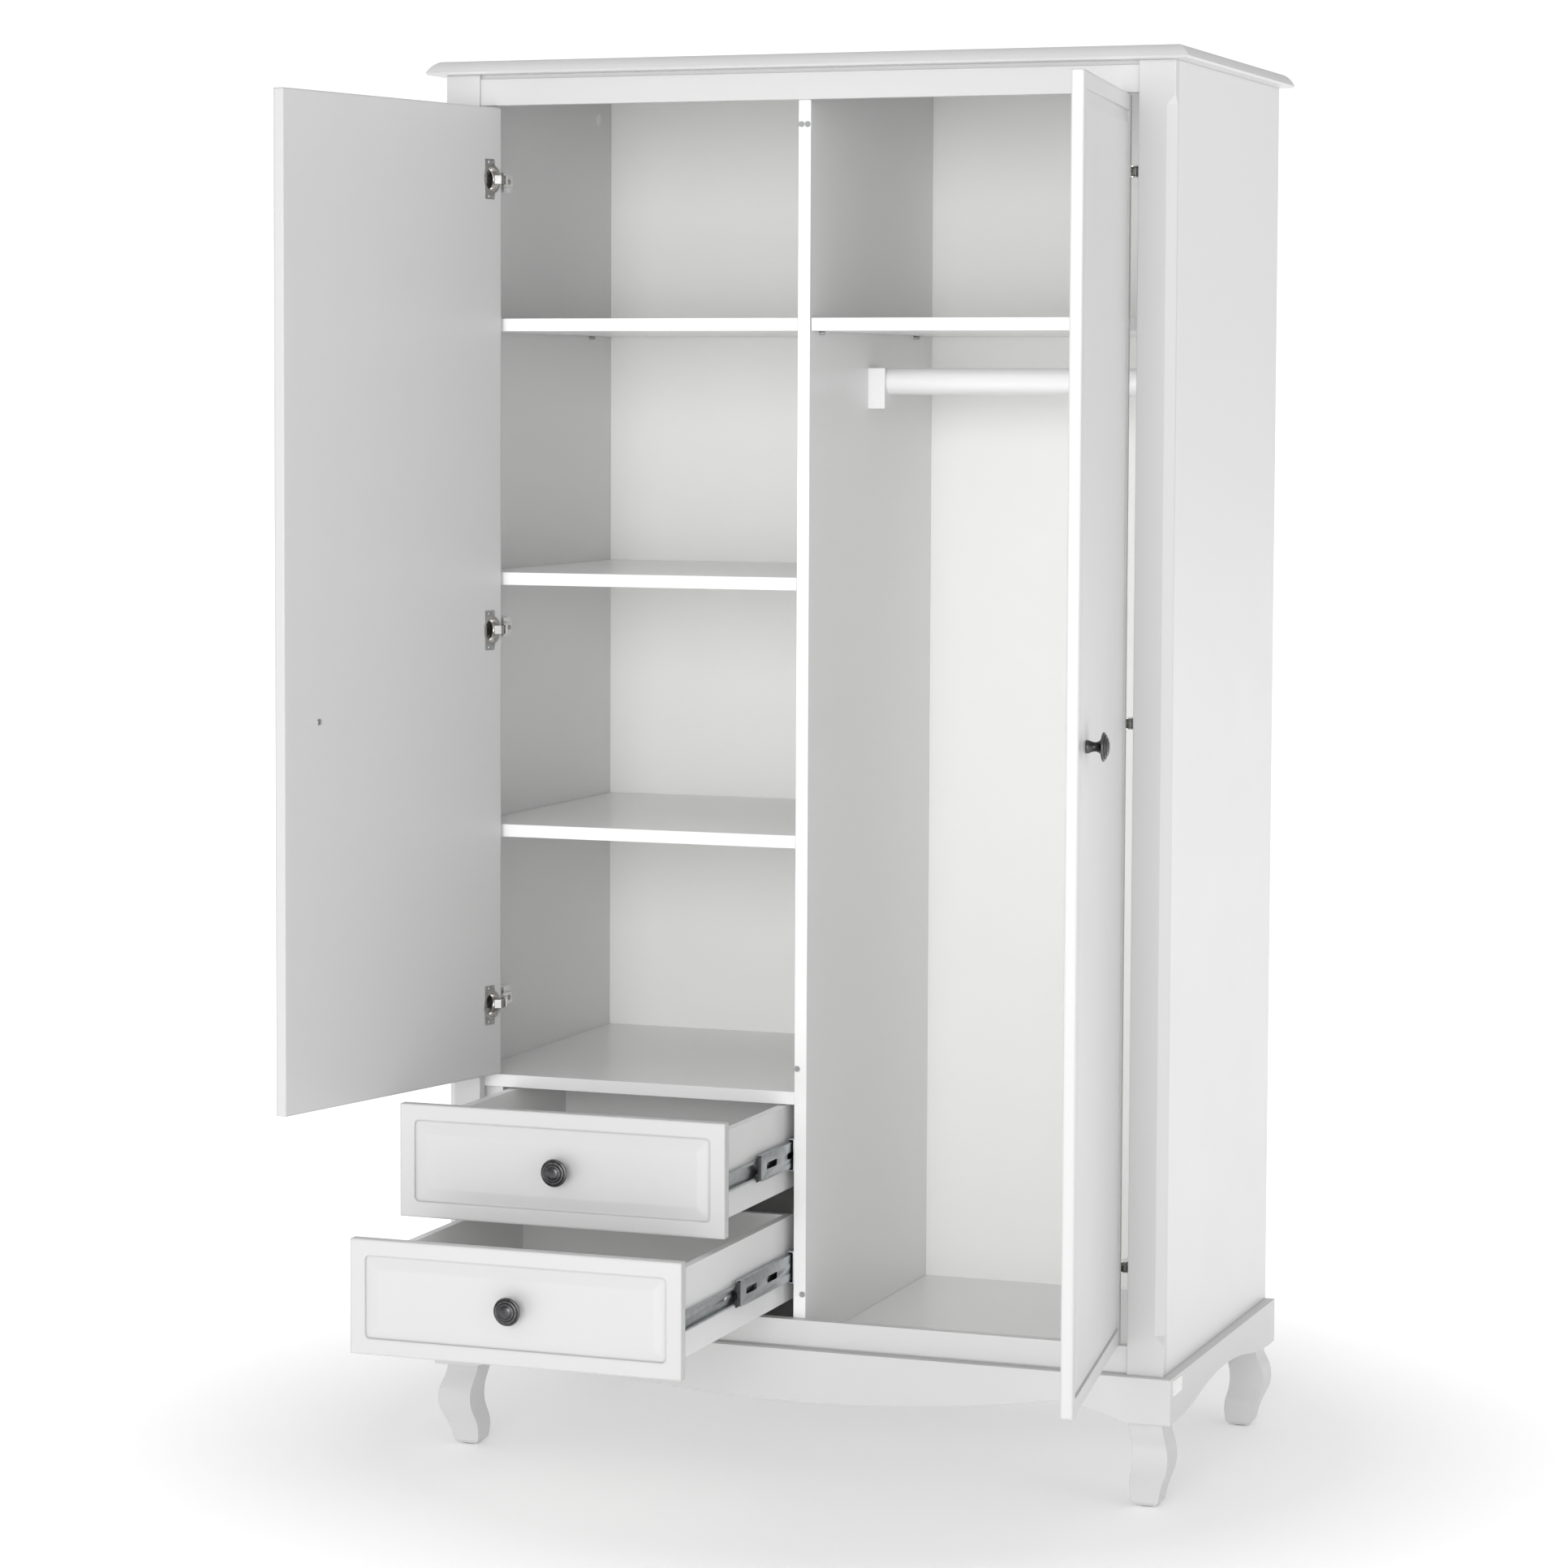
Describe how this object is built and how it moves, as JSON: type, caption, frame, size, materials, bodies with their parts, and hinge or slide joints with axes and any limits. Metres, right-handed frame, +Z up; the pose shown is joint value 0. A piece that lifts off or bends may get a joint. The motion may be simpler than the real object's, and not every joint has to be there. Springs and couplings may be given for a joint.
{
  "type": "wardrobe",
  "caption": "White framed wardrobe with hinged panelled doors over shelves, stacked drawers and a hanging space, on a shaped plinth with curved legs.",
  "frame": {"origin": "on the floor under the middle of the carcass (the box of the side panels, posts and back, without plinth and top overhang)", "axes": "+X to the right seen from the front, +Y towards the back, +Z up; the front faces -Y"},
  "size_m": [1.15, 1.038, 1.98],
  "materials": {
    "white_board": "satin white lacquer on fibreboard",
    "back_board": "matt white hardboard",
    "drawer_board": "matt white melamine on chipboard",
    "zinc_steel": "zinc plated",
    "nickel_steel": "nickel plated",
    "knob_metal": "antiqued dark pewter",
    "white_plastic": "matt",
    "dark_plastic": "matt",
    "clear_plastic": "soft clear"
  },
  "bodies": {
    "cabinet": {"top_board": "white_board", "left_side_panel": "white_board", "right_side_panel": "white_board", "left_front_post": "white_board", "right_front_post": "white_board", "header_rail": "white_board", "bottom_rail": "white_board", "centre_divider": "white_board", "bottom_panel": "white_board", "back_panel": "back_board", "lower_left_shelf": "white_board", "middle_left_shelf": "white_board", "upper_left_shelf": "white_board", "drawer_top_shelf": "white_board", "right_shelf": "white_board", "shelf_supports": "zinc_steel", "clothes_rail": "white_board", "rail_blocks": "white_board", "front_apron": "white_board", "left_apron": "white_board", "right_apron": "white_board", "rear_apron": "white_board", "plinth_corner_blocks": "white_board", "front_left_leg": "white_board", "front_right_leg": "white_board", "rear_left_leg": "white_board", "rear_right_leg": "white_board", "foot_glides": "dark_plastic", "hinge_blocks": "white_board", "hinge_arms": "nickel_steel", "cam_fittings": "zinc_steel", "cam_covers": "white_plastic", "wall_brackets": "zinc_steel", "runner_packer": "white_board", "runner_cabinet_members": "zinc_steel", "door_bumpers": "clear_plastic"},
    "left_door": {"left_door_panel": "white_board", "left_door_knob": "knob_metal", "left_knob_screw": "zinc_steel", "left_hinge_cups": "nickel_steel"},
    "left_hinge_link": {"left_hinge_links": "nickel_steel"},
    "right_door": {"right_door_panel": "white_board", "right_door_knob": "knob_metal", "right_knob_screw": "zinc_steel", "right_hinge_cups": "nickel_steel"},
    "right_hinge_link": {"right_hinge_links": "nickel_steel"},
    "upper_drawer": {"upper_drawer_front": "white_board", "upper_drawer_sides": "drawer_board", "upper_drawer_back": "drawer_board", "upper_drawer_bottom": "back_board", "upper_drawer_knob": "knob_metal", "upper_runner_drawer_members": "zinc_steel"},
    "upper_runner_middle": {"upper_runner_middle_members": "zinc_steel"},
    "lower_drawer": {"lower_drawer_front": "white_board", "lower_drawer_sides": "drawer_board", "lower_drawer_back": "drawer_board", "lower_drawer_bottom": "back_board", "lower_drawer_knob": "knob_metal", "lower_runner_drawer_members": "zinc_steel"},
    "lower_runner_middle": {"lower_runner_middle_members": "zinc_steel"}
  },
  "joints": [
    {"name": "left_door_hinge", "type": "hinge", "parent": "cabinet", "child": "left_door", "pos_m": [-0.4677, -0.286, 1.07], "axis": [0, 0, -1], "range_deg": [-103.5, 6.5]},
    {"name": "left_link_hinge", "type": "hinge", "parent": "cabinet", "child": "left_hinge_link", "pos_m": [-0.4677, -0.286, 1.07], "axis": [0, 0, -1], "range_deg": [-51.75, 3.25]},
    {"name": "right_door_hinge", "type": "hinge", "parent": "cabinet", "child": "right_door", "pos_m": [0.4677, -0.286, 1.07], "axis": [0, 0, 1], "range_deg": [-98.5, 11.5]},
    {"name": "right_link_hinge", "type": "hinge", "parent": "cabinet", "child": "right_hinge_link", "pos_m": [0.4677, -0.286, 1.07], "axis": [0, 0, 1], "range_deg": [-49.25, 5.75]},
    {"name": "upper_drawer_slide", "type": "slide", "parent": "cabinet", "child": "upper_drawer", "axis": [0, -1, 0], "range_m": [-0.274, 0.176]},
    {"name": "upper_runner_slide", "type": "slide", "parent": "cabinet", "child": "upper_runner_middle", "axis": [0, -1, 0], "range_m": [-0.137, 0.088]},
    {"name": "lower_drawer_slide", "type": "slide", "parent": "cabinet", "child": "lower_drawer", "axis": [0, -1, 0], "range_m": [-0.432, 0.018]},
    {"name": "lower_runner_slide", "type": "slide", "parent": "cabinet", "child": "lower_runner_middle", "axis": [0, -1, 0], "range_m": [-0.216, 0.009]}
  ],
  "couplings": [
    {"joint": "left_link_hinge", "follows": "left_door_hinge", "ratio": 0.5},
    {"joint": "right_link_hinge", "follows": "right_door_hinge", "ratio": 0.5},
    {"joint": "upper_runner_slide", "follows": "upper_drawer_slide", "ratio": 0.5},
    {"joint": "lower_runner_slide", "follows": "lower_drawer_slide", "ratio": 0.5}
  ]
}
